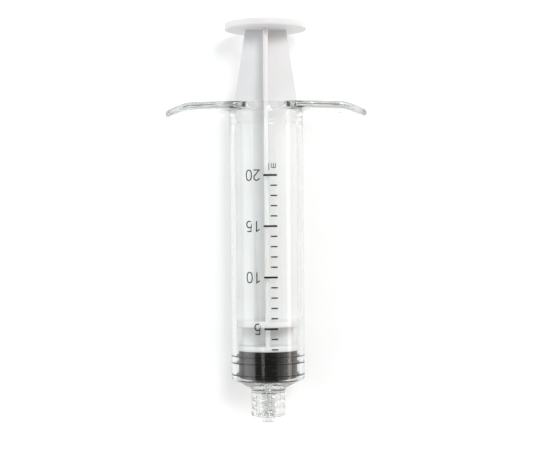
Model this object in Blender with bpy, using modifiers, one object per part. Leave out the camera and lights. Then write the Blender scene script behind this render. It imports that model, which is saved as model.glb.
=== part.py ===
"""A 20 ml luer-lock syringe, plunger fully in, lying along Y with its thumb disc towards +Y and its scale up.

Everything is first placed along the barrel's own axis: a station is the distance from the end of the luer tip.
The empty syringe_axis then lays that axis along +Y. In its frame +Z is the station and -Y faces up.
"""

import math

import bmesh
import bpy

MM = 0.001
WELD = 0.001 * MM
SNAP = 0.005 * MM  # a cut this near a point goes through it
SEGMENTS = 48  # sides of every turned piece, so that neighbouring facets stay parallel
THREAD_SIDES_PER_TURN = 20

# Whole syringe
TOTAL_LENGTH = 124.5 * MM
THUMB_R = 12.85 * MM
AXIS_HEIGHT = THUMB_R  # the thumb disc is the widest piece across, so it touches the table

# Barrel
BARREL_R = 11.5 * MM
BORE_R_AT_FLOOR = 10.03 * MM
BORE_R_AT_MOUTH = 10.17 * MM
MOUTH = 99.2 * MM
FLOOR_RIM = 13.75 * MM
SHOULDER = 14.1 * MM
SHOULDER_RADIUS = 1.0 * MM
FLOOR_SLOPE = math.tan(math.radians(16))
CONE_FOOT = 10.6 * MM
CONE_FOOT_R = 5.7 * MM
RIDGE = 93.8 * MM  # internal ridge that keeps the seal from being pulled out
RIDGE_R = 9.9 * MM
RIDGE_HALF_WIDTH = 0.5 * MM

# Luer-lock end, 6 % taper
COLLAR_R = 5.35 * MM
COLLAR_MOUTH = 1.9 * MM
COLLAR_EDGE = 0.7 * MM
RECESS_R = 4.05 * MM
RECESS_FLOOR = 9.4 * MM
TIP_R = 1.98 * MM
TIP_TAPER = 0.03
LUMEN_R = 0.55 * MM
THREAD_STARTS = 2
THREAD_LEAD = 5.0 * MM
THREAD_TURNS = 1.1
THREAD_TUBE_R = 0.45 * MM
THREAD_FIRST = 2.7 * MM

# Finger flange
WING_TIP_X = 31.45 * MM
WING_THICKNESS = 2.15 * MM
WING_EDGE = 0.85 * MM
WING_ROOT_X = 13.0 * MM
WING_NARROW_X = 24.0 * MM
WING_ROOT_HALF_DEPTH = 12.3 * MM
WING_NARROW_HALF_DEPTH = 9.6 * MM
WING_DROOP = 1.9 * MM
WING_DROOP_FROM_X = 22.5 * MM
WING_CUTS = 9
FLANGE_FILLET = 0.8 * MM

# Plunger rod
THUMB_THICKNESS = 2.3 * MM
THUMB_EDGE = 0.55 * MM
RIB_THICKNESS = 1.5 * MM
RIB_HALF_AT_THUMB = 6.5 * MM
RIB_HALF = 9.6 * MM
RIB_TAPER_END = 101.0 * MM
GUIDE_DISC_R = 9.75 * MM
GUIDE_DISC = (29.9 * MM, 31.9 * MM)
NECK_RIB_HALF = 8.0 * MM
HOLDING_DISC_R = 9.5 * MM
HOLDING_DISC = (22.45 * MM, 24.1 * MM)
STEM_R = 3.2 * MM
BUTTON_R = 5.2 * MM
BUTTON = (17.3 * MM, 20.5 * MM)
JOIN = 0.4 * MM  # how far one moulded feature runs into the next

# Piston seal
SEAL_BODY_R = 9.1 * MM
SEAL_RING_R = 9.97 * MM
SEAL_FRONT = 13.95 * MM
SEAL_BACK = 22.15 * MM
SEAL_RINGS = ((15.0 * MM, 0.95 * MM), (18.7 * MM, 0.85 * MM), (20.8 * MM, 0.7 * MM))  # station, width
SEAL_GAP = 0.3 * MM

# Printed scale
SCALE_ML = 20
INK_CLEARANCE = 0.02 * MM
INK_THICKNESS = 0.05 * MM
INK_SLICE = 0.5 * MM
LINE_RIGHT = 3.2 * MM
MINOR_LENGTH, MINOR_WIDTH = 2.05 * MM, 0.42 * MM
MAJOR_LENGTH, MAJOR_WIDTH = 4.2 * MM, 0.6 * MM
DIGIT_HEIGHT = 3.5 * MM
DIGIT_STROKE = 0.34 * MM
DIGIT_START = -2.05 * MM
DIGIT_STEP = 2.5 * MM
DIGIT_ARC_STEPS = 6
OVAL_POWER = 0.85
UNIT_HEIGHT = 2.1 * MM
UNIT_STROKE = 0.22 * MM
UNIT_X_HEIGHT_SHARE = 0.7
UNIT_M_WIDTH = 1.5 * MM
UNIT_STARTS = (("m", 2.85 * MM), ("l", 0.85 * MM))
UNIT_STATION_PAST_SCALE = 3.6 * MM

COLOURS = {
    "clear_plastic": ((0.86, 0.87, 0.86), 0.08),
    "white_plastic": ((0.88, 0.88, 0.87), 0.35),
    "black_rubber": ((0.012, 0.012, 0.011), 0.4),
    "black_ink": ((0.03, 0.03, 0.03), 0.6),
}


def empty_scene():
    for obj in list(bpy.data.objects):
        bpy.data.objects.remove(obj, do_unlink=True)


def make_collection(name, hidden=False):
    collection = bpy.data.collections.new(name)
    collection.hide_render = hidden
    bpy.context.scene.collection.children.link(collection)
    return collection


def make_material(name):
    colour, roughness = COLOURS[name]
    material = bpy.data.materials.new(name)
    material.use_nodes = True
    shader = material.node_tree.nodes["Principled BSDF"]
    shader.inputs["Base Color"].default_value = (*colour, 1.0)
    shader.inputs["Roughness"].default_value = roughness
    shader.inputs["Metallic"].default_value = 0.0
    return material


def add_object(name, data, collection, axis, material=None):
    obj = bpy.data.objects.new(name, data)
    collection.objects.link(obj)
    obj.parent = axis
    if material:
        data.materials.append(material)
    return obj


def add_cutter(name, data, collection, axis):
    cutter = add_object(name, data, collection, axis)
    cutter.hide_render = True
    cutter.display_type = "WIRE"
    return cutter


def turned(name, profile, closed, collection, axis, material=None):
    """A profile of (radius, station) points turned about the axis. On the outside it runs from high to low."""
    mesh = bpy.data.meshes.new(name)
    points = [(radius, 0.0, station) for radius, station in profile]
    edges = [(i, i + 1) for i in range(len(points) - 1)]
    if closed:
        edges.append((len(points) - 1, 0))
    mesh.from_pydata(points, edges, [])
    obj = add_object(name, mesh, collection, axis, material)
    screw = obj.modifiers.new("turn", "SCREW")
    screw.axis = "Z"
    screw.angle = math.tau
    screw.steps = SEGMENTS
    screw.render_steps = SEGMENTS
    screw.use_merge_vertices = True
    screw.merge_threshold = WELD
    return obj


def face_outwards(work):
    bmesh.ops.recalc_face_normals(work, faces=work.faces)
    if work.calc_volume(signed=True) < 0:
        bmesh.ops.reverse_faces(work, faces=work.faces)


def baked(obj):
    """Replaces an object's data with the mesh that its modifiers or curve settings make, caps welded."""
    graph = bpy.context.evaluated_depsgraph_get()
    mesh = bpy.data.meshes.new_from_object(obj.evaluated_get(graph))
    work = bmesh.new()
    work.from_mesh(mesh)
    bmesh.ops.remove_doubles(work, verts=work.verts, dist=WELD)
    face_outwards(work)
    work.to_mesh(mesh)
    work.free()
    name = obj.name
    collection = obj.users_collection[0]
    parent = obj.parent
    bpy.data.objects.remove(obj, do_unlink=True)
    mesh.name = name
    made = add_object(name, mesh, collection, parent)
    made.hide_render = collection.hide_render
    if made.hide_render:
        made.display_type = "WIRE"
    return made


def combine(obj, other, operation):
    boolean = obj.modifiers.new(f"{operation.lower()} {other.name}", "BOOLEAN")
    boolean.operation = operation
    boolean.solver = "EXACT"
    boolean.object = other


def smooth(obj, angle_deg=35):
    obj.data.shade_smooth()
    obj.data.set_sharp_from_angle(angle=math.radians(angle_deg))


def arc(centre_r, centre_station, radius, start_deg, end_deg, steps):
    """Points on a round edge of a profile, angles measured from the outward radial direction."""
    turns = [math.radians(start_deg + (end_deg - start_deg) * i / steps) for i in range(steps + 1)]
    return [(centre_r + radius * math.cos(t), centre_station + radius * math.sin(t)) for t in turns]


def ease(value, low, high):
    """0 below low, 1 above high, and a smooth step between."""
    share = min(max((value - low) / (high - low), 0.0), 1.0)
    return share * share * (3 - 2 * share)


def wing_half_depth(x):
    x = abs(x)
    if x < WING_NARROW_X:
        narrowing = ease(x, WING_ROOT_X, WING_NARROW_X)
        return WING_ROOT_HALF_DEPTH + (WING_NARROW_HALF_DEPTH - WING_ROOT_HALF_DEPTH) * narrowing
    along = (x - WING_NARROW_X) / (WING_TIP_X - WING_NARROW_X)
    return WING_NARROW_HALF_DEPTH * math.sqrt(max(1 - along * along, 0.0))


def wing_outline(inset):
    """One closed plan outline of the flange, drawn inset so that its rounded edge ends at the true outline."""
    quarter = [(x * MM, wing_half_depth(x * MM)) for x in (0.0, 6.0, 12.0, 14.5, 17.0, 19.5, 22.0)]
    reach = WING_TIP_X - WING_NARROW_X
    for step in range(11):
        turn = math.radians(90 * step / 10)
        quarter.append((WING_NARROW_X + reach * math.sin(turn), WING_NARROW_HALF_DEPTH * math.cos(turn)))
    half = quarter + [(x, -z) for x, z in reversed(quarter[:-1])]
    loop = half + [(-x, z) for x, z in reversed(half[1:-1])]
    drawn = []
    for i, (x, z) in enumerate(loop):
        before = loop[i - 1]
        after = loop[(i + 1) % len(loop)]
        along = (after[0] - before[0], after[1] - before[1])
        length = math.hypot(*along)
        drawn.append((x + inset * along[1] / length, z - inset * along[0] / length))
    return drawn


def make_wings(collection, axis):
    """The finger flange: a plate with rounded edges whose ends droop towards the luer tip."""
    curve = bpy.data.curves.new("finger_flange", "CURVE")
    curve.dimensions = "2D"
    curve.fill_mode = "BOTH"
    curve.extrude = WING_THICKNESS / 2 - WING_EDGE
    curve.bevel_depth = WING_EDGE
    curve.bevel_resolution = 2
    outline = wing_outline(WING_EDGE)
    spline = curve.splines.new("POLY")
    spline.points.add(len(outline) - 1)
    for point, (x, z) in zip(spline.points, outline):
        point.co = (x, z, 0.0, 1.0)
    spline.use_cyclic_u = True
    plate = baked(add_cutter("finger_flange", curve, collection, axis))
    work = bmesh.new()
    work.from_mesh(plate.data)
    for side in (-1, 1):
        for cut in range(WING_CUTS):
            x = side * (WING_DROOP_FROM_X + (WING_TIP_X - WING_DROOP_FROM_X) * cut / WING_CUTS)
            parts = work.verts[:] + work.edges[:] + work.faces[:]
            bmesh.ops.bisect_plane(work, geom=parts, plane_co=(x, 0, 0), plane_no=(1, 0, 0), dist=SNAP)
    middle = MOUTH - WING_THICKNESS / 2
    for vert in work.verts:
        vert.co.z += middle - WING_DROOP * ease(abs(vert.co.x), WING_DROOP_FROM_X, WING_TIP_X)
    bmesh.ops.triangulate(work, faces=work.faces)
    work.to_mesh(plate.data)
    work.free()
    return plate


def make_thread(start, collection, axis):
    """One start of the collar's internal thread: a tube along a helix, half sunk in the collar's wall."""
    curve = bpy.data.curves.new(f"thread_start_{start}", "CURVE")
    curve.dimensions = "3D"
    curve.bevel_depth = THREAD_TUBE_R
    curve.bevel_resolution = 1
    curve.use_fill_caps = True
    steps = round(THREAD_TURNS * THREAD_SIDES_PER_TURN)
    spline = curve.splines.new("POLY")
    spline.points.add(steps)
    for i, point in enumerate(spline.points):
        turn = i / THREAD_SIDES_PER_TURN
        angle = math.tau * (turn + start / THREAD_STARTS)
        station = THREAD_FIRST + THREAD_LEAD * turn
        point.co = (RECESS_R * math.cos(angle), RECESS_R * math.sin(angle), station, 1.0)
    return baked(add_cutter(f"thread_start_{start}", curve, collection, axis))


def make_barrel(parts, cutters, axis, material):
    """The clear moulding: tube, cone, luer tip and lock collar in one, with the finger flange round its mouth."""
    under_flange = MOUTH - WING_THICKNESS
    outside = [(0, MOUTH), (BARREL_R + FLANGE_FILLET / 2, MOUTH)]
    outside.append((BARREL_R + FLANGE_FILLET / 2, under_flange))
    outside.append((BARREL_R, under_flange - FLANGE_FILLET))
    outside += arc(BARREL_R - SHOULDER_RADIUS, SHOULDER, SHOULDER_RADIUS, 0, -66, 3)
    outside += [(CONE_FOOT_R, CONE_FOOT), (COLLAR_R, CONE_FOOT - 0.5 * MM)]
    outside += arc(COLLAR_R - COLLAR_EDGE, COLLAR_MOUTH + COLLAR_EDGE, COLLAR_EDGE, 0, -90, 3)
    outside += [(TIP_R + TIP_TAPER * COLLAR_MOUTH, COLLAR_MOUTH), (TIP_R, 0.12 * MM)]
    outside += [(TIP_R - 0.12 * MM, 0), (0, 0)]
    barrel = turned("barrel", outside, False, parts, axis, material)
    combine(barrel, make_wings(cutters, axis), "UNION")

    def bore_r(station):
        share = (station - FLOOR_RIM) / (MOUTH - FLOOR_RIM)
        return BORE_R_AT_FLOOR + (BORE_R_AT_MOUTH - BORE_R_AT_FLOOR) * share

    past = 2 * MM
    lead_in = 0.35 * MM
    bore = [(0, MOUTH + past), (bore_r(MOUTH) + lead_in, MOUTH + past), (bore_r(MOUTH) + lead_in, MOUTH)]
    bore.append((bore_r(MOUTH), MOUTH - lead_in))
    bore.append((bore_r(RIDGE), RIDGE + 2 * RIDGE_HALF_WIDTH))
    bore += [(RIDGE_R, RIDGE + RIDGE_HALF_WIDTH / 2), (RIDGE_R, RIDGE - RIDGE_HALF_WIDTH / 2)]
    bore.append((bore_r(RIDGE), RIDGE - 2 * RIDGE_HALF_WIDTH))
    bore.append((BORE_R_AT_FLOOR, FLOOR_RIM))
    bore.append((LUMEN_R, FLOOR_RIM - (BORE_R_AT_FLOOR - LUMEN_R) * FLOOR_SLOPE))
    bore += [(LUMEN_R, -past), (0, -past)]
    combine(barrel, baked(turned("bore_and_lumen", bore, False, cutters, axis)), "DIFFERENCE")

    tip_at_floor = TIP_R + TIP_TAPER * RECESS_FLOOR
    tip_below = TIP_R - TIP_TAPER * past
    recess = [(RECESS_R, RECESS_FLOOR), (RECESS_R, -past), (tip_below, -past), (tip_at_floor, RECESS_FLOOR)]
    combine(barrel, baked(turned("lock_recess", recess, True, cutters, axis)), "DIFFERENCE")
    for start in range(THREAD_STARTS):
        combine(barrel, make_thread(start, cutters, axis), "UNION")
    return barrel


def flat_plate(name, outline, thickness, quarter_turn, collection, axis):
    """A plate from a flat outline of (across, station) points, standing in a plane through the axis."""
    curve = bpy.data.curves.new(name, "CURVE")
    curve.dimensions = "2D"
    curve.fill_mode = "BOTH"
    curve.extrude = thickness / 2
    spline = curve.splines.new("POLY")
    spline.points.add(len(outline) - 1)
    for point, (across, station) in zip(spline.points, outline):
        point.co = (across, station, 0.0, 1.0)
    spline.use_cyclic_u = True
    plate = baked(add_cutter(name, curve, collection, axis))
    for vert in plate.data.vertices:
        across, station, side = vert.co
        vert.co = (side, across, station) if quarter_turn else (across, -side, station)
    return plate


def make_plunger_rod(parts, cutters, axis, material):
    """The white moulding: thumb disc, cross ribs, guide disc, holding disc and the button inside the seal."""
    under_thumb = TOTAL_LENGTH - THUMB_THICKNESS
    thumb = [(0, TOTAL_LENGTH)]
    thumb += arc(THUMB_R - THUMB_EDGE, TOTAL_LENGTH - THUMB_EDGE, THUMB_EDGE, 90, 0, 3)
    thumb += arc(THUMB_R - THUMB_EDGE, under_thumb + THUMB_EDGE, THUMB_EDGE, 0, -90, 3)
    thumb.append((0, under_thumb))
    rod = turned("plunger_rod", thumb, False, parts, axis, material)

    top = under_thumb + JOIN
    foot = GUIDE_DISC[1] - JOIN
    ribs = [(RIB_HALF_AT_THUMB, top), (RIB_HALF_AT_THUMB, under_thumb), (RIB_HALF, RIB_TAPER_END), (RIB_HALF, foot)]
    ribs += [(-across, station) for across, station in reversed(ribs)]
    neck = [(NECK_RIB_HALF, GUIDE_DISC[0] + JOIN), (NECK_RIB_HALF, HOLDING_DISC[1] - JOIN)]
    neck += [(-across, station) for across, station in reversed(neck)]
    for quarter_turn in (False, True):
        side = "vertical" if quarter_turn else "level"
        combine(rod, flat_plate(f"{side}_rib", ribs, RIB_THICKNESS, quarter_turn, cutters, axis), "UNION")
        combine(rod, flat_plate(f"{side}_neck_rib", neck, RIB_THICKNESS, quarter_turn, cutters, axis), "UNION")

    guide = [(0, GUIDE_DISC[1]), (GUIDE_DISC_R, GUIDE_DISC[1]), (GUIDE_DISC_R, GUIDE_DISC[0]), (0, GUIDE_DISC[0])]
    combine(rod, baked(turned("guide_disc", guide, False, cutters, axis)), "UNION")
    chamfer = 0.6 * MM
    holder = [(0, HOLDING_DISC[1]), (HOLDING_DISC_R, HOLDING_DISC[1]), (HOLDING_DISC_R, HOLDING_DISC[0])]
    holder += [(STEM_R, HOLDING_DISC[0]), (STEM_R, BUTTON[1]), (BUTTON_R, BUTTON[1])]
    holder += [(BUTTON_R, BUTTON[0] + chamfer), (BUTTON_R - chamfer, BUTTON[0]), (0, BUTTON[0])]
    combine(rod, baked(turned("holding_disc_and_button", holder, False, cutters, axis)), "UNION")
    return rod


def make_piston_seal(parts, axis, material):
    """The rubber seal: three rings that meet the bore, a coned front, and a socket that snaps over the button."""
    profile = [(STEM_R + SEAL_GAP, SEAL_BACK), (SEAL_BODY_R, SEAL_BACK)]
    for station, width in reversed(SEAL_RINGS):
        flat = 0.3 * width
        profile += [(SEAL_BODY_R, station + width / 2), (SEAL_RING_R, station + flat / 2)]
        profile += [(SEAL_RING_R, station - flat / 2), (SEAL_BODY_R, station - width / 2)]
    profile.append((SEAL_BODY_R, SEAL_FRONT))
    profile.append((0, SEAL_FRONT - SEAL_BODY_R * FLOOR_SLOPE))
    profile.append((0, BUTTON[0] - SEAL_GAP))
    socket_r = BUTTON_R + SEAL_GAP
    profile += [(socket_r, BUTTON[0] - SEAL_GAP), (socket_r, BUTTON[1] + SEAL_GAP)]
    profile.append((STEM_R + SEAL_GAP, BUTTON[1] + SEAL_GAP))
    return turned("piston_seal", profile, True, parts, axis, material)


def station_of_volume(millilitres):
    """Where the seal's front edge stands when the drafted bore holds this volume."""
    draft = (BORE_R_AT_MOUTH - BORE_R_AT_FLOOR) / (MOUTH - FLOOR_RIM)
    cubic_metres = millilitres * 1e-6
    end_r = (BORE_R_AT_FLOOR**3 + 3 * draft * cubic_metres / math.pi) ** (1 / 3)
    return SEAL_FRONT + (end_r - BORE_R_AT_FLOOR) / draft


def wrap_on_barrel(work):
    """Bends flat ink, drawn as (around, along, height above the barrel), onto the barrel's upper side."""
    arounds = [vert.co.x for vert in work.verts]
    first = math.floor(min(arounds) / INK_SLICE)
    last = math.ceil(max(arounds) / INK_SLICE)
    for cut in range(first, last + 1):
        parts = work.verts[:] + work.edges[:] + work.faces[:]
        bmesh.ops.bisect_plane(work, geom=parts, plane_co=(cut * INK_SLICE, 0, 0), plane_no=(1, 0, 0), dist=SNAP)
    for vert in work.verts:
        around, station, height = vert.co
        radius = BARREL_R + INK_CLEARANCE + height
        turn = around / BARREL_R
        vert.co = (radius * math.sin(turn), -radius * math.cos(turn), station)
    bmesh.ops.triangulate(work, faces=work.faces)
    face_outwards(work)


def ink_node(name, work, parts, axis, material):
    wrap_on_barrel(work)
    mesh = bpy.data.meshes.new(name)
    work.to_mesh(mesh)
    work.free()
    return add_object(name, mesh, parts, axis, material)


def make_scale_line(millilitres, parts, axis, material):
    major = millilitres % 5 == 0
    length = MAJOR_LENGTH if major else MINOR_LENGTH
    width = MAJOR_WIDTH if major else MINOR_WIDTH
    centre = (LINE_RIGHT - length / 2, station_of_volume(millilitres), INK_THICKNESS / 2)
    work = bmesh.new()
    bmesh.ops.create_cube(work, size=1.0)
    bmesh.ops.scale(work, verts=work.verts, vec=(length, width, INK_THICKNESS))
    bmesh.ops.translate(work, verts=work.verts, vec=centre)
    return ink_node(f"line_{millilitres:02d}ml", work, parts, axis, material)


def offset_line(points, distance):
    """A line of (across, up) points moved sideways, with mitred corners."""
    moved = []
    for i, (across, up) in enumerate(points):
        before = points[max(i - 1, 0)]
        after = points[min(i + 1, len(points) - 1)]
        sides = [(up - before[1], before[0] - across), (after[1] - up, across - after[0])]
        normals = [(x / math.hypot(x, y), y / math.hypot(x, y)) for x, y in sides if math.hypot(x, y) > 0]
        middle = (sum(n[0] for n in normals), sum(n[1] for n in normals))
        length = math.hypot(*middle)
        mitre = distance / (length / len(normals)) / length
        moved.append((across + mitre * middle[0], up + mitre * middle[1]))
    return moved


def oval(half_width, half_height, inset):
    """An upright rounded loop, squarer than an ellipse."""
    loop = []
    for step in range(DIGIT_ARC_STEPS * 4):
        turn = math.tau * step / (DIGIT_ARC_STEPS * 4)
        across = math.copysign(abs(math.cos(turn)) ** OVAL_POWER, math.cos(turn))
        up = math.copysign(abs(math.sin(turn)) ** OVAL_POWER, math.sin(turn))
        loop.append((half_width + (half_width - inset) * across, half_height + (half_height - inset) * up))
    return loop


def digit_outlines(digit, height):
    """The closed outlines of a one-stroke digit, standing on (0, 0). Shares below are of its height."""
    half = DIGIT_STROKE / 2
    if digit == "0":
        size = (0.3 * height, 0.5 * height)
        return [oval(*size, 0.0), oval(*size, DIGIT_STROKE)]
    if digit == "1":
        line = [(0.02, 0.8), (0.31, 1.0), (0.31, 0.0)]
    elif digit == "2":
        line = arc(0.27, 0.73, 0.27, 170, -28, DIGIT_ARC_STEPS) + [(0.02, 0.0), (0.56, 0.0)]
    else:
        line = [(0.5, 1.0), (0.1, 1.0), (0.06, 0.53)]
        line += arc(0.24, 0.33, 0.32, 118, -112, DIGIT_ARC_STEPS + 3)
    rise = height - DIGIT_STROKE
    points = [(half + across * rise, half + up * rise) for across, up in line]
    return [offset_line(points, half) + offset_line(points, -half)[::-1]]


def unit_outlines(letter, height):
    """The letters m and l of the scale's unit, as plain upright strokes."""
    if letter == "l":
        return [[(0, 0), (UNIT_STROKE, 0), (UNIT_STROKE, height), (0, height)]]
    rise = UNIT_X_HEIGHT_SHARE * height
    pitch = (UNIT_M_WIDTH - UNIT_STROKE) / 2
    under = rise - UNIT_STROKE
    outline = [(0, rise), (0, 0)]
    for leg in range(2):
        inner = leg * pitch + UNIT_STROKE
        outline += [(inner, 0), (inner, under), (inner + pitch - UNIT_STROKE, under), (inner + pitch - UNIT_STROKE, 0)]
    outline += [(UNIT_M_WIDTH, 0), (UNIT_M_WIDTH, rise - UNIT_STROKE), (UNIT_M_WIDTH - UNIT_STROKE, rise)]
    return [outline]


def make_glyph(name, outlines, start, station, parts, cutters, axis, material):
    """One printed character, read with the luer tip up: it starts at start and runs towards -X."""
    curve = bpy.data.curves.new(name, "CURVE")
    curve.dimensions = "2D"
    curve.fill_mode = "BOTH"
    curve.extrude = INK_THICKNESS / 2
    for outline in outlines:
        spline = curve.splines.new("POLY")
        spline.points.add(len(outline) - 1)
        for point, (across, up) in zip(spline.points, outline):
            point.co = (start - across, station - up, INK_THICKNESS / 2, 1.0)
        spline.use_cyclic_u = True
    drawn = baked(add_cutter(f"{name}_drawn", curve, cutters, axis))
    work = bmesh.new()
    work.from_mesh(drawn.data)
    bpy.data.objects.remove(drawn, do_unlink=True)
    return ink_node(name, work, parts, axis, material)


def make_numerals(parts, cutters, axis, material):
    for millilitres in range(5, SCALE_ML + 1, 5):
        station = station_of_volume(millilitres) + DIGIT_HEIGHT / 2
        for place, digit in enumerate(str(millilitres)):
            name = f"numeral_{millilitres:02d}_digit_{place + 1}"
            start = DIGIT_START - place * DIGIT_STEP
            outlines = digit_outlines(digit, DIGIT_HEIGHT)
            make_glyph(name, outlines, start, station, parts, cutters, axis, material)


def make_unit(parts, cutters, axis, material):
    station = station_of_volume(SCALE_ML) + UNIT_STATION_PAST_SCALE
    for letter, start in UNIT_STARTS:
        outlines = unit_outlines(letter, UNIT_HEIGHT)
        make_glyph(f"unit_letter_{letter}", outlines, start, station, parts, cutters, axis, material)


def main():
    empty_scene()
    parts = make_collection("luer_lock_syringe")
    cutters = make_collection("cutters", hidden=True)
    axis = bpy.data.objects.new("syringe_axis", None)
    parts.objects.link(axis)
    axis.location = (0.0, -TOTAL_LENGTH / 2, AXIS_HEIGHT)
    axis.rotation_euler = (-math.pi / 2, 0.0, 0.0)
    materials = {name: make_material(name) for name in COLOURS}

    make_barrel(parts, cutters, axis, materials["clear_plastic"])
    make_plunger_rod(parts, cutters, axis, materials["white_plastic"])
    make_piston_seal(parts, axis, materials["black_rubber"])
    for millilitres in range(SCALE_ML + 1):
        make_scale_line(millilitres, parts, axis, materials["black_ink"])
    make_numerals(parts, cutters, axis, materials["black_ink"])
    make_unit(parts, cutters, axis, materials["black_ink"])
    for obj in parts.objects:
        if obj.type == "MESH":
            smooth(obj)


main()
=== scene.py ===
"""Looks of the luer-lock syringe: clear barrel, white plunger rod, rubber seal and printed scale.

A station is the distance from the end of the luer tip, as in the CAD. Turned pieces are grids of rings
about the barrel's axis, which lies along +Y. Angles go round the axis from +X towards +Z.
"""

import math

import bmesh
import bpy
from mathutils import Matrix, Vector


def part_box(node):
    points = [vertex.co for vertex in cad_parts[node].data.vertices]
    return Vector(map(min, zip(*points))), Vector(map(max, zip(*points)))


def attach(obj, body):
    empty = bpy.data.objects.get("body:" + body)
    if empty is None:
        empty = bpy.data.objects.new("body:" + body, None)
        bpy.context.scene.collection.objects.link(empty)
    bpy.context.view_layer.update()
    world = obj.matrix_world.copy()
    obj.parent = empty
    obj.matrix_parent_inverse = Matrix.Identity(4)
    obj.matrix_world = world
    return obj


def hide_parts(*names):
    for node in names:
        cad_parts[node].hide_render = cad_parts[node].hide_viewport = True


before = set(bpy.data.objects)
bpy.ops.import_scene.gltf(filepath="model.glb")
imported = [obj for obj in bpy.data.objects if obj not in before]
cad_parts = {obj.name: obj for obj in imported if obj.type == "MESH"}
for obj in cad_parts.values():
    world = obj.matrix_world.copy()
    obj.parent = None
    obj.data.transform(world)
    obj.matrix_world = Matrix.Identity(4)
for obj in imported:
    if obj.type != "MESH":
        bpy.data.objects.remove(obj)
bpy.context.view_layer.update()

MM = 0.001
RING_POINTS = 240

barrel_low, barrel_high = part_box("barrel")
rod_low, rod_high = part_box("plunger_rod")
seal_low, seal_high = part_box("piston_seal")
TIP_Y = barrel_low.y
AXIS_Z = (rod_low.z + rod_high.z) / 2
THUMB_R = (rod_high.z - rod_low.z) / 2
TOTAL_LENGTH = rod_high.y - TIP_Y
MOUTH = barrel_high.y - TIP_Y
WING_TIP_X = barrel_high.x

# Barrel
BARREL_R = 11.5 * MM
BORE_R_AT_FLOOR = 10.03 * MM
BORE_R_AT_MOUTH = 10.17 * MM
FLOOR_RIM = 13.75 * MM
SHOULDER = 14.1 * MM
SHOULDER_RADIUS = 1.0 * MM
FLOOR_SLOPE = math.tan(math.radians(16))
CONE_FOOT = 10.6 * MM
CONE_FOOT_R = 5.7 * MM
RIDGE = 93.8 * MM
RIDGE_R = 9.9 * MM
RIDGE_HALF_LENGTH = 1.5 * MM
MOUTH_EDGE = 0.35 * MM
FLOOR_CORNER = 0.45 * MM

# Luer-lock end
COLLAR_R = 5.35 * MM
COLLAR_MOUTH = 1.9 * MM
COLLAR_EDGE = 0.7 * MM
RECESS_R = 4.05 * MM
RECESS_FLOOR = 9.4 * MM
TIP_R = 1.98 * MM
TIP_TAPER = 0.03
LUMEN_R = 0.55 * MM
THREAD_STARTS = 2
THREAD_LEAD = 5.0 * MM
THREAD_HEIGHT = 0.45 * MM
THREAD_FIRST = 2.6 * MM
THREAD_LAST = 8.6 * MM
THREAD_FADE = 0.5 * MM
THREAD_ROWS = 56
LIP_EDGE = 0.3 * MM
TIP_EDGE = 0.16 * MM
RECESS_FILLET = 0.3 * MM

# Finger flange
WING_THICKNESS = 2.15 * MM
WING_EDGE = 0.85 * MM
WING_ROOT_X = 13.0 * MM
WING_NARROW_X = 24.0 * MM
WING_ROOT_HALF_DEPTH = 12.3 * MM
WING_NARROW_HALF_DEPTH = 9.6 * MM
WING_DROOP = 1.9 * MM
WING_DROOP_FROM_X = 22.5 * MM
FLANGE_FILLET = 0.8 * MM
FLANGE_SHARES = (0.12, 0.3, 0.5, 0.7, 0.88)  # where the rings cross the flange's flat faces

# Plunger rod
THUMB_THICKNESS = 2.3 * MM
THUMB_EDGE = 0.55 * MM
RIB_THICKNESS = 1.5 * MM
RIB_HALF_AT_THUMB = 6.5 * MM
RIB_HALF = 9.6 * MM
RIB_TAPER_END = 101.0 * MM
RIB_EDGE = 0.28 * MM
CORE_R = 1.15 * MM
GUIDE_DISC_R = 9.75 * MM
GUIDE_DISC = (29.9 * MM, 31.9 * MM)
NECK_RIB_HALF = 8.0 * MM
HOLDING_DISC_R = 9.5 * MM
HOLDING_DISC = (22.45 * MM, 24.1 * MM)
STEM_R = 3.2 * MM
BUTTON_R = 5.2 * MM
BUTTON = (17.3 * MM, 20.5 * MM)
BUTTON_EDGE = 0.5 * MM
GUIDE_EDGE = 0.35 * MM
HOLDING_EDGE = 0.3 * MM
HIDDEN_EDGE = 0.1 * MM
JOIN = 0.4 * MM
DISC_HUB_R = 0.2 * MM

# Piston seal, whose rings are pressed a little into the bore
SEAL_BODY_R = 9.1 * MM
SEAL_RING_R = 10.19 * MM
SEAL_FRONT = 13.95 * MM
SEAL_BACK = seal_high.y - TIP_Y
SEAL_RINGS = ((15.0 * MM, 0.95 * MM), (18.7 * MM, 0.85 * MM), (20.8 * MM, 0.7 * MM))  # station, width
SEAL_GAP = 0.3 * MM
SEAL_BACK_EDGE = 0.3 * MM
SEAL_FRONT_EDGE = 0.35 * MM

# Camera: straight above, so far off that the lens covers the whole syringe
CAMERA_HEIGHT = 418.6 * MM
CAMERA_LENS = 89.3
CAMERA_X = 0.94 * MM
CAMERA_Y = -0.85 * MM
CAMERA_ROLL = math.radians(-0.46)

# Surroundings
FLOOR_SIZE = 2.4
SKY_STOPS = ((0.0, 0.85), (0.3, 0.8), (0.55, 0.6), (0.7, 0.12), (1.0, 0.05))  # upward share, brightness
LIGHT_BOUNCES = 32
GLOSSY_BOUNCES = 12


def ease(value, low, high):
    """0 below low, 1 above high, and a smooth step between."""
    share = min(max((value - low) / (high - low), 0.0), 1.0)
    return share * share * (3 - 2 * share)


def at(radius, angle, station):
    return Vector((radius * math.cos(angle), TIP_Y + station, AXIS_Z + radius * math.sin(angle)))


def angle_of(step):
    return math.tau * step / RING_POINTS


def arc(centre_r, centre_station, radius, start_deg, end_deg, steps):
    """Points (radius, station) on a round edge of a profile, angles measured from straight outwards."""
    turns = [math.radians(start_deg + (end_deg - start_deg) * i / steps) for i in range(steps + 1)]
    return [(centre_r + radius * math.cos(t), centre_station + radius * math.sin(t)) for t in turns]


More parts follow.
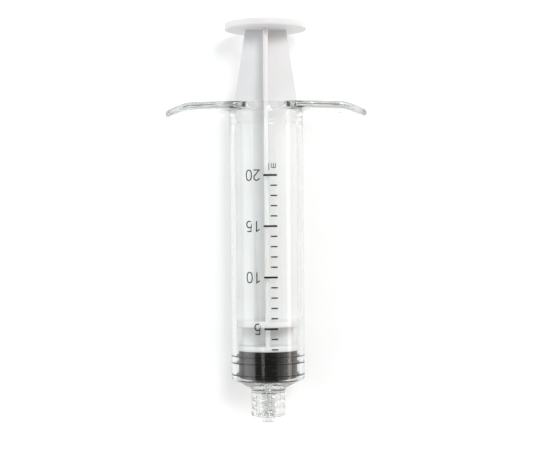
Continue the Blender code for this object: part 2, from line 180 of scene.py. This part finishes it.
def smooth(mesh, angle_deg):
    mesh.shade_smooth()
    mesh.set_sharp_from_angle(angle=math.radians(angle_deg))


def finished(work, name, sharp_deg=35):
    bmesh.ops.recalc_face_normals(work, faces=work.faces)
    if work.calc_volume(signed=True) < 0:
        bmesh.ops.reverse_faces(work, faces=work.faces)
    mesh = bpy.data.meshes.new(name)
    work.to_mesh(mesh)
    work.free()
    smooth(mesh, sharp_deg)
    obj = bpy.data.objects.new(name, mesh)
    bpy.context.scene.collection.objects.link(obj)
    return obj


def rings(name, rows, closed, sharp_deg=35):
    """A skin over rings of points. Closed joins the last ring to the first. Otherwise the ends are capped."""
    work = bmesh.new()
    made = [[work.verts.new(point) for point in row] for row in rows]
    count = len(made)
    for i in range(count if closed else count - 1):
        lower, upper = made[i], made[(i + 1) % count]
        size = len(lower)
        for j in range(size):
            work.faces.new((lower[j], lower[(j + 1) % size], upper[(j + 1) % size], upper[j]))
    if not closed:
        work.faces.new(made[0])
        work.faces.new(made[-1])
    return finished(work, name, sharp_deg)


def turned(name, profile, closed=False, sharp_deg=35):
    rows = [[at(radius, angle_of(j), station) for j in range(RING_POINTS)] for radius, station in profile]
    return rings(name, rows, closed, sharp_deg)


# ---------------------------------------------------------------- materials


def new_material(name):
    material = bpy.data.materials.new(name)
    material.use_nodes = True
    return material, material.node_tree.nodes, material.node_tree.links


def noise(nodes, links, scale, detail=2.0, stretch=(1, 1, 1)):
    """A noise that stays put on the object. A stretch under 1 draws it out along that axis."""
    place = nodes.new("ShaderNodeTexCoord")
    mapping = nodes.new("ShaderNodeMapping")
    mapping.inputs["Scale"].default_value = stretch
    texture = nodes.new("ShaderNodeTexNoise")
    texture.inputs["Scale"].default_value = scale
    texture.inputs["Detail"].default_value = detail
    links.new(place.outputs["Object"], mapping.inputs["Vector"])
    links.new(mapping.outputs["Vector"], texture.inputs["Vector"])
    return texture.outputs["Fac"]


def ranged(nodes, links, value, low, high):
    span = nodes.new("ShaderNodeMapRange")
    span.inputs["To Min"].default_value = low
    span.inputs["To Max"].default_value = high
    links.new(value, span.inputs["Value"])
    return span.outputs["Result"]


def bump(nodes, links, value, distance, strength=1.0):
    node = nodes.new("ShaderNodeBump")
    node.inputs["Distance"].default_value = distance
    node.inputs["Strength"].default_value = strength
    links.new(value, node.inputs["Height"])
    return node.outputs["Normal"]


def mixed_colour(nodes, links, value, first, second):
    mix = nodes.new("ShaderNodeMix")
    mix.data_type = "RGBA"
    mix.inputs["A"].default_value = (*first, 1.0)
    mix.inputs["B"].default_value = (*second, 1.0)
    links.new(value, mix.inputs["Factor"])
    return mix.outputs["Result"]


def clear_plastic():
    """Clear polycarbonate, polished a little unevenly. Lamps shine through it with some loss."""
    material, nodes, links = new_material("clear_plastic")
    shader = nodes["Principled BSDF"]
    shader.inputs["Base Color"].default_value = (0.925, 0.932, 0.925, 1.0)
    shader.inputs["Transmission Weight"].default_value = 1.0
    shader.inputs["IOR"].default_value = 1.58
    polish = noise(nodes, links, 90, 1.0, (1.0, 0.25, 1.0))
    links.new(ranged(nodes, links, polish, 0.006, 0.016), shader.inputs["Roughness"])
    through = nodes.new("ShaderNodeBsdfTransparent")
    through.inputs["Color"].default_value = (0.86, 0.865, 0.86, 1.0)
    path = nodes.new("ShaderNodeLightPath")
    mix = nodes.new("ShaderNodeMixShader")
    links.new(path.outputs["Is Shadow Ray"], mix.inputs["Fac"])
    links.new(shader.outputs["BSDF"], mix.inputs[1])
    links.new(through.outputs["BSDF"], mix.inputs[2])
    links.new(mix.outputs["Shader"], nodes["Material Output"].inputs["Surface"])
    absorption = nodes.new("ShaderNodeVolumeAbsorption")
    absorption.inputs["Color"].default_value = (0.2, 0.24, 0.21, 1.0)
    absorption.inputs["Density"].default_value = 16.0
    links.new(absorption.outputs["Volume"], nodes["Material Output"].inputs["Volume"])
    return material


def white_plastic():
    """White polypropylene: satin, a little cloudy, with fine mould texture."""
    material, nodes, links = new_material("white_plastic")
    shader = nodes["Principled BSDF"]
    cloud = noise(nodes, links, 160, 3.0)
    grain = noise(nodes, links, 5200, 2.0)
    colour = mixed_colour(nodes, links, cloud, (0.77, 0.77, 0.775), (0.83, 0.83, 0.835))
    links.new(colour, shader.inputs["Base Color"])
    links.new(ranged(nodes, links, cloud, 0.3, 0.46), shader.inputs["Roughness"])
    links.new(bump(nodes, links, grain, 0.000012, 0.5), shader.inputs["Normal"])
    shader.inputs["Subsurface Weight"].default_value = 0.15
    shader.inputs["Subsurface Scale"].default_value = 0.0012
    return material


def black_rubber():
    """Moulded black rubber with a film of silicone oil."""
    material, nodes, links = new_material("black_rubber")
    shader = nodes["Principled BSDF"]
    cloud = noise(nodes, links, 300, 3.0)
    grain = noise(nodes, links, 4200, 2.0)
    colour = mixed_colour(nodes, links, cloud, (0.006, 0.006, 0.0055), (0.014, 0.0135, 0.012))
    links.new(colour, shader.inputs["Base Color"])
    links.new(ranged(nodes, links, cloud, 0.3, 0.5), shader.inputs["Roughness"])
    links.new(bump(nodes, links, grain, 0.00002, 0.4), shader.inputs["Normal"])
    shader.inputs["Specular IOR Level"].default_value = 0.05
    return material


def black_ink():
    """Screen-printed ink, a little uneven where it lies thin."""
    material, nodes, links = new_material("black_ink")
    shader = nodes["Principled BSDF"]
    patches = noise(nodes, links, 2600, 3.0)
    colour = mixed_colour(nodes, links, patches, (0.008, 0.008, 0.008), (0.03, 0.029, 0.028))
    links.new(colour, shader.inputs["Base Color"])
    links.new(ranged(nodes, links, patches, 0.45, 0.7), shader.inputs["Roughness"])
    shader.inputs["Specular IOR Level"].default_value = 0.15
    return material


# ------------------------------------------------------------------- barrel


def wing_half_depth(x):
    x = abs(x)
    if x < WING_NARROW_X:
        narrowing = ease(x, WING_ROOT_X, WING_NARROW_X)
        return WING_ROOT_HALF_DEPTH + (WING_NARROW_HALF_DEPTH - WING_ROOT_HALF_DEPTH) * narrowing
    along = (x - WING_NARROW_X) / (WING_TIP_X - WING_NARROW_X)
    return WING_NARROW_HALF_DEPTH * math.sqrt(max(1 - along * along, 0.0))


def flange_reach(angle):
    """How far the flange's outline is from the axis in this direction."""
    across = abs(math.cos(angle))
    up = abs(math.sin(angle))
    near, far = 0.0, 1.2 * WING_TIP_X
    for _ in range(40):
        middle = (near + far) / 2
        x = middle * across
        inside = x < WING_TIP_X and middle * up < wing_half_depth(x)
        near, far = (middle, far) if inside else (near, middle)
    return near


def flange_rows():
    """Rings from the barrel's wall under the flange, round the flange's edge, to the bore's mouth."""
    edge = WING_THICKNESS / 2
    middle = MOUTH - edge
    reach = [flange_reach(angle_of(j)) for j in range(RING_POINTS)]
    step = math.tau / RING_POINTS
    columns = []
    for j in range(RING_POINTS):
        slope = (reach[(j + 1) % RING_POINTS] - reach[j - 1]) / (2 * step * reach[j])
        free = reach[j] - BARREL_R
        inset = min(WING_EDGE * math.sqrt(1 + slope * slope), 0.5 * free)
        fillet = min(FLANGE_FILLET, 0.45 * free)
        mouth_r = BORE_R_AT_MOUTH + MOUTH_EDGE
        points = []
        for turn in range(0, 91, 18):
            t = math.radians(turn)
            points.append((BARREL_R + fillet * (1 - math.cos(t)), -edge - FLANGE_FILLET * (1 - math.sin(t))))
        inner, outer = BARREL_R + fillet, reach[j] - inset
        points += [(inner + (outer - inner) * share, -edge) for share in FLANGE_SHARES]
        flat = edge - WING_EDGE
        for side in (-1, 1):
            for turn in range(0, 91, 15):
                t = math.radians(turn if side > 0 else turn - 90)
                points.append((outer + inset * math.cos(t), side * flat + WING_EDGE * math.sin(t)))
        points += [(outer + (mouth_r - outer) * share, edge) for share in (*FLANGE_SHARES, 1.0)]
        angle = angle_of(j)
        column = []
        for radius, level in points:
            droop = WING_DROOP * ease(abs(radius * math.cos(angle)), WING_DROOP_FROM_X, WING_TIP_X)
            column.append(at(radius, angle, middle + level - droop))
        columns.append(column)
    return [list(row) for row in zip(*columns)]


def bore_r(station):
    share = (station - FLOOR_RIM) / (MOUTH - FLOOR_RIM)
    return BORE_R_AT_FLOOR + (BORE_R_AT_MOUTH - BORE_R_AT_FLOOR) * share


def bore_profile():
    """From the mouth's edge down the drafted bore, over the ridge and the coned floor, to the lumen."""
    profile = arc(bore_r(MOUTH) + MOUTH_EDGE, MOUTH - MOUTH_EDGE, MOUTH_EDGE, 105, 180, 4)
    profile += [(bore_r(station * MM), station * MM) for station in (98.2, 96.0)]
    for step in range(13):
        share = step / 12
        station = RIDGE + (1 - 2 * share) * RIDGE_HALF_LENGTH
        swell = math.sin(math.pi * share) ** 2
        profile.append((bore_r(station) + (RIDGE_R - bore_r(RIDGE)) * swell, station))
    profile += [(bore_r(station * MM), station * MM) for station in (88.5, 70, 50, 30, 18, 15)]
    corner_r = bore_r(FLOOR_RIM) - FLOOR_CORNER
    profile += arc(corner_r, FLOOR_RIM + FLOOR_CORNER * 0.6, FLOOR_CORNER, 0, -74, 4)
    floor_r = BORE_R_AT_FLOOR - FLOOR_CORNER
    for share in (0.1, 0.4, 0.75, 1.0):
        radius = floor_r + (LUMEN_R + 0.3 * MM - floor_r) * share
        profile.append((radius, FLOOR_RIM - (BORE_R_AT_FLOOR - radius) * FLOOR_SLOPE - 0.1 * MM))
    profile += [(LUMEN_R, station * MM) for station in (10.6, 8, 4, 0.4)]
    return profile


def tip_profile():
    """From the lumen's mouth round the end of the luer tip and up its taper to the recess floor."""
    profile = [(LUMEN_R + 0.12 * MM, 0.0), (LUMEN_R + 0.5 * MM, 0.0)]
    profile += arc(TIP_R - TIP_EDGE, TIP_EDGE, TIP_EDGE, -90, 0, 4)
    profile += [(TIP_R + TIP_TAPER * station * MM, station * MM) for station in (1, 2.5, 5, 7.5, 8.8)]
    foot = TIP_R + TIP_TAPER * RECESS_FLOOR
    profile += arc(foot + RECESS_FILLET, RECESS_FLOOR - RECESS_FILLET, RECESS_FILLET, 180, 90, 4)
    profile += arc(RECESS_R - RECESS_FILLET, RECESS_FLOOR - RECESS_FILLET, RECESS_FILLET, 90, 0, 4)
    return profile


def thread_rows():
    """Rings down the recess wall, pushed inwards where the two starts of the right-hand thread pass."""
    pitch = THREAD_LEAD / THREAD_STARTS
    rows = []
    for i in range(THREAD_ROWS + 1):
        station = THREAD_LAST + (THREAD_FIRST - THREAD_LAST) * i / THREAD_ROWS
        fade_in = ease(station, THREAD_FIRST, THREAD_FIRST + THREAD_FADE)
        fade = fade_in * (1 - ease(station, THREAD_LAST - THREAD_FADE, THREAD_LAST))
        row = []
        for j in range(RING_POINTS):
            phase = station / pitch - THREAD_STARTS * j / RING_POINTS
            crest = ease(math.cos(math.tau * phase), 0.15, 0.85)
            row.append(at(RECESS_R - THREAD_HEIGHT * crest * fade, angle_of(j), station))
        rows.append(row)
    return rows


def outside_profile():
    """From the recess's mouth round the collar, up the cone and the tube, to just under the flange."""
    profile = arc(RECESS_R + LIP_EDGE, COLLAR_MOUTH + LIP_EDGE, LIP_EDGE, 180, 270, 3)
    profile += arc(COLLAR_R - COLLAR_EDGE, COLLAR_MOUTH + COLLAR_EDGE, COLLAR_EDGE, -90, 0, 7)
    profile += [(COLLAR_R, station * MM) for station in (3.2, 6, 9)]
    profile += [(COLLAR_R + 0.02 * MM, 9.9 * MM), (COLLAR_R + 0.1 * MM, 10.3 * MM)]
    profile.append((CONE_FOOT_R + 0.1 * MM, CONE_FOOT + 0.05 * MM))
    end = arc(BARREL_R - SHOULDER_RADIUS, SHOULDER, SHOULDER_RADIUS, -66, 0, 8)
    for share in (0.15, 0.5, 0.88):
        radius = CONE_FOOT_R + (end[0][0] - CONE_FOOT_R) * share
        profile.append((radius, CONE_FOOT + (end[0][1] - CONE_FOOT) * share))
    profile += end
    profile += [(BARREL_R, station * MM) for station in (14.6, 20, 40, 60, 80, 94, 96)]
    return profile


def make_barrel():
    def plain(profile):
        return [[at(radius, angle_of(j), station) for j in range(RING_POINTS)] for radius, station in profile]

    rows = plain(outside_profile()) + flange_rows() + plain(bore_profile()) + plain(tip_profile())
    rows += thread_rows()
    return rings("barrel_clear", rows, closed=True, sharp_deg=50)


# ----------------------------------------------------------- rod and seal


def plate(name, outline, upright):
    """A rib from a flat outline of (across, station) points, with its long edges rounded."""
    work = bmesh.new()
    half = RIB_THICKNESS / 2
    faces = []
    for side in (-half, half):
        points = []
        for across, station in outline:
            x, z = (side, across) if upright else (across, side)
            points.append(work.verts.new((x, TIP_Y + station, AXIS_Z + z)))
        faces.append(points)
    count = len(outline)
    work.faces.new(faces[0])
    work.faces.new(faces[1])
    for i in range(count):
        work.faces.new((faces[0][i], faces[0][(i + 1) % count], faces[1][(i + 1) % count], faces[1][i]))
    obj = finished(work, name)
    bevel = obj.modifiers.new("rounded", "BEVEL")
    bevel.width = RIB_EDGE
    bevel.segments = 3
    return obj


def united(name, pieces):
    """One closed mesh from overlapping closed pieces."""
    first, others = pieces[0], pieces[1:]
    for other in others:
        boolean = first.modifiers.new(other.name, "BOOLEAN")
        boolean.operation = "UNION"
        boolean.solver = "EXACT"
        boolean.object = other
    graph = bpy.context.evaluated_depsgraph_get()
    mesh = bpy.data.meshes.new_from_object(first.evaluated_get(graph))
    for piece in pieces:
        bpy.data.objects.remove(piece, do_unlink=True)
    mesh.name = name
    smooth(mesh, 32)
    obj = bpy.data.objects.new(name, mesh)
    bpy.context.scene.collection.objects.link(obj)
    return obj


def disc(name, radius, low, high, edge):
    """A turned disc with rounded rims, from its low to its high station."""
    profile = [(DISC_HUB_R, high)]
    profile += arc(radius - edge, high - edge, edge, 90, 0, 5)
    profile += arc(radius - edge, low + edge, edge, 0, -90, 5)
    profile.append((DISC_HUB_R, low))
    return turned(name, profile)


def make_plunger_rod():
    """The white moulding: thumb disc, ribs, guide and holding discs, and the button inside the seal."""
    under_thumb = TOTAL_LENGTH - THUMB_THICKNESS
    ribs = [(RIB_HALF_AT_THUMB, under_thumb + JOIN), (RIB_HALF_AT_THUMB, under_thumb)]
    ribs += [(RIB_HALF, RIB_TAPER_END), (RIB_HALF, GUIDE_DISC[1] - JOIN)]
    ribs += [(-across, station) for across, station in reversed(ribs)]
    neck = [(NECK_RIB_HALF, GUIDE_DISC[0] + JOIN), (NECK_RIB_HALF, HOLDING_DISC[1] - JOIN)]
    neck += [(-across, station) for across, station in reversed(neck)]
    pieces = [disc("thumb", THUMB_R, under_thumb, TOTAL_LENGTH, THUMB_EDGE)]
    for upright in (False, True):
        side = "upright" if upright else "level"
        pieces.append(plate(f"{side}_ribs", ribs, upright))
        pieces.append(plate(f"{side}_neck", neck, upright))
    pieces.append(disc("core", CORE_R, HOLDING_DISC[1] - JOIN, under_thumb + JOIN, HIDDEN_EDGE))
    pieces.append(disc("guide", GUIDE_DISC_R, *GUIDE_DISC, GUIDE_EDGE))
    pieces.append(disc("holder", HOLDING_DISC_R, *HOLDING_DISC, HOLDING_EDGE))
    pieces.append(disc("stem", STEM_R, BUTTON[0] + JOIN, HOLDING_DISC[0] + JOIN, HIDDEN_EDGE))
    pieces.append(disc("button", BUTTON_R, *BUTTON, BUTTON_EDGE))
    return united("plunger_rod_white", pieces)


def make_seal():
    """The rubber piston, with round-backed rings and the socket that holds the rod's button."""
    profile = [(STEM_R + SEAL_GAP, SEAL_BACK), (SEAL_BODY_R - 0.4 * MM, SEAL_BACK)]
    profile += arc(SEAL_BODY_R - SEAL_BACK_EDGE, SEAL_BACK - SEAL_BACK_EDGE, SEAL_BACK_EDGE, 90, 10, 4)
    for station, width in reversed(SEAL_RINGS):
        for step in range(13):
            share = step / 12
            swell = math.sin(math.pi * share) ** 0.6
            across = station + width * (0.5 - share)
            profile.append((SEAL_BODY_R + (SEAL_RING_R - SEAL_BODY_R) * swell, across))
    profile += arc(SEAL_BODY_R - SEAL_FRONT_EDGE, SEAL_FRONT + 0.25 * MM, SEAL_FRONT_EDGE, 0, -74, 5)
    for radius in (6 * MM, 3 * MM):
        profile.append((radius, SEAL_FRONT - (SEAL_BODY_R - radius) * FLOOR_SLOPE))
    profile.append((0.3 * MM, SEAL_FRONT - SEAL_BODY_R * FLOOR_SLOPE))
    profile += [(0.3 * MM, BUTTON[0] - SEAL_GAP), (BUTTON_R + SEAL_GAP, BUTTON[0] - SEAL_GAP)]
    profile += [(BUTTON_R + SEAL_GAP, BUTTON[1] + SEAL_GAP), (STEM_R + SEAL_GAP, BUTTON[1] + SEAL_GAP)]
    return turned("piston_seal_rubber", profile, closed=True, sharp_deg=40)


# --------------------------------------------------------------- surroundings


def make_floor():
    work = bmesh.new()
    bmesh.ops.create_grid(work, x_segments=2, y_segments=2, size=FLOOR_SIZE / 2)
    floor = finished(work, "floor")
    material, nodes, links = new_material("floor_white")
    shader = nodes["Principled BSDF"]
    shader.inputs["Base Color"].default_value = (0.86, 0.86, 0.86, 1.0)
    shader.inputs["Roughness"].default_value = 0.9
    shader.inputs["Emission Color"].default_value = (1.0, 1.0, 1.0, 1.0)
    shader.inputs["Emission Strength"].default_value = 0.27
    floor.data.materials.append(material)


def make_world():
    """A white tent: brightest low down at the sides and dim straight above."""
    world = bpy.data.worlds.new("tent")
    bpy.context.scene.world = world
    world.use_nodes = True
    nodes, links = world.node_tree.nodes, world.node_tree.links
    place = nodes.new("ShaderNodeTexCoord")
    split = nodes.new("ShaderNodeSeparateXYZ")
    links.new(place.outputs["Generated"], split.inputs["Vector"])
    ramp = nodes.new("ShaderNodeValToRGB")
    while len(ramp.color_ramp.elements) < len(SKY_STOPS):
        ramp.color_ramp.elements.new(0.5)
    for element, (position, value) in zip(ramp.color_ramp.elements, SKY_STOPS):
        element.position = position
        element.color = (value, value, value, 1.0)
    links.new(split.outputs["Z"], ramp.inputs["Fac"])
    background = nodes["Background"]
    background.inputs["Strength"].default_value = 1.0
    links.new(ramp.outputs["Color"], background.inputs["Color"])


def make_light(name, place, aim, size, power, colour):
    """A rectangular lamp, its size given as level and then upright."""
    data = bpy.data.lights.new(name, "AREA")
    data.shape = "RECTANGLE"
    data.size = size[0]
    data.size_y = size[1]
    data.energy = power
    data.color = colour
    light = bpy.data.objects.new(name, data)
    bpy.context.scene.collection.objects.link(light)
    light.location = place
    light.rotation_euler = (Vector(aim) - Vector(place)).to_track_quat("-Z", "Y").to_euler()


def make_camera():
    data = bpy.data.cameras.new("camera")
    data.lens = CAMERA_LENS
    data.sensor_width = 36
    data.clip_start = 0.01
    camera = bpy.data.objects.new("camera", data)
    camera.location = (CAMERA_X, CAMERA_Y, AXIS_Z + CAMERA_HEIGHT)
    camera.rotation_euler = (0, 0, CAMERA_ROLL)
    bpy.context.scene.collection.objects.link(camera)
    bpy.context.scene.camera = camera


def dress(obj, material, body, replaced):
    obj.data.materials.clear()
    obj.data.materials.append(material)
    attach(obj, body)
    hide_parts(replaced)


dress(make_barrel(), clear_plastic(), "barrel", "barrel")
dress(make_plunger_rod(), white_plastic(), "plunger", "plunger_rod")
dress(make_seal(), black_rubber(), "piston", "piston_seal")
ink = black_ink()
for name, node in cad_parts.items():
    if name.startswith(("line_", "numeral_", "unit_")):
        node.data.materials.clear()
        node.data.materials.append(ink)

make_camera()
make_floor()
make_world()
make_light("key", (0.20, 0.31, 0.70), (0, 0, 0), (0.26, 0.24), 2.5, (0.975, 0.99, 1.0))
make_light("top_left_panel", (-0.27, 0.16, 0.65), (0, 0, 0.01), (0.48, 0.56), 0.75, (0.96, 0.985, 1.0))
make_light("left_panel", (-0.50, -0.06, 0.28), (0, -0.03, 0.01), (0.8, 0.41), 1.1, (0.97, 1.0, 0.985))
make_light("right_panel", (0.477, 0.0, 0.51), (0, 0, 0.01), (1.3, 0.37), 0.45, (0.97, 1.0, 1.0))
make_light("right_strip", (0.50, 0.0, 0.17), (0, 0, 0.01), (1.4, 0.11), 1.1, (1.0, 0.88, 0.77))
bpy.context.scene.cycles.max_bounces = LIGHT_BOUNCES
bpy.context.scene.cycles.transmission_bounces = LIGHT_BOUNCES
bpy.context.scene.cycles.glossy_bounces = GLOSSY_BOUNCES
bpy.context.scene.view_settings.view_transform = "Standard"
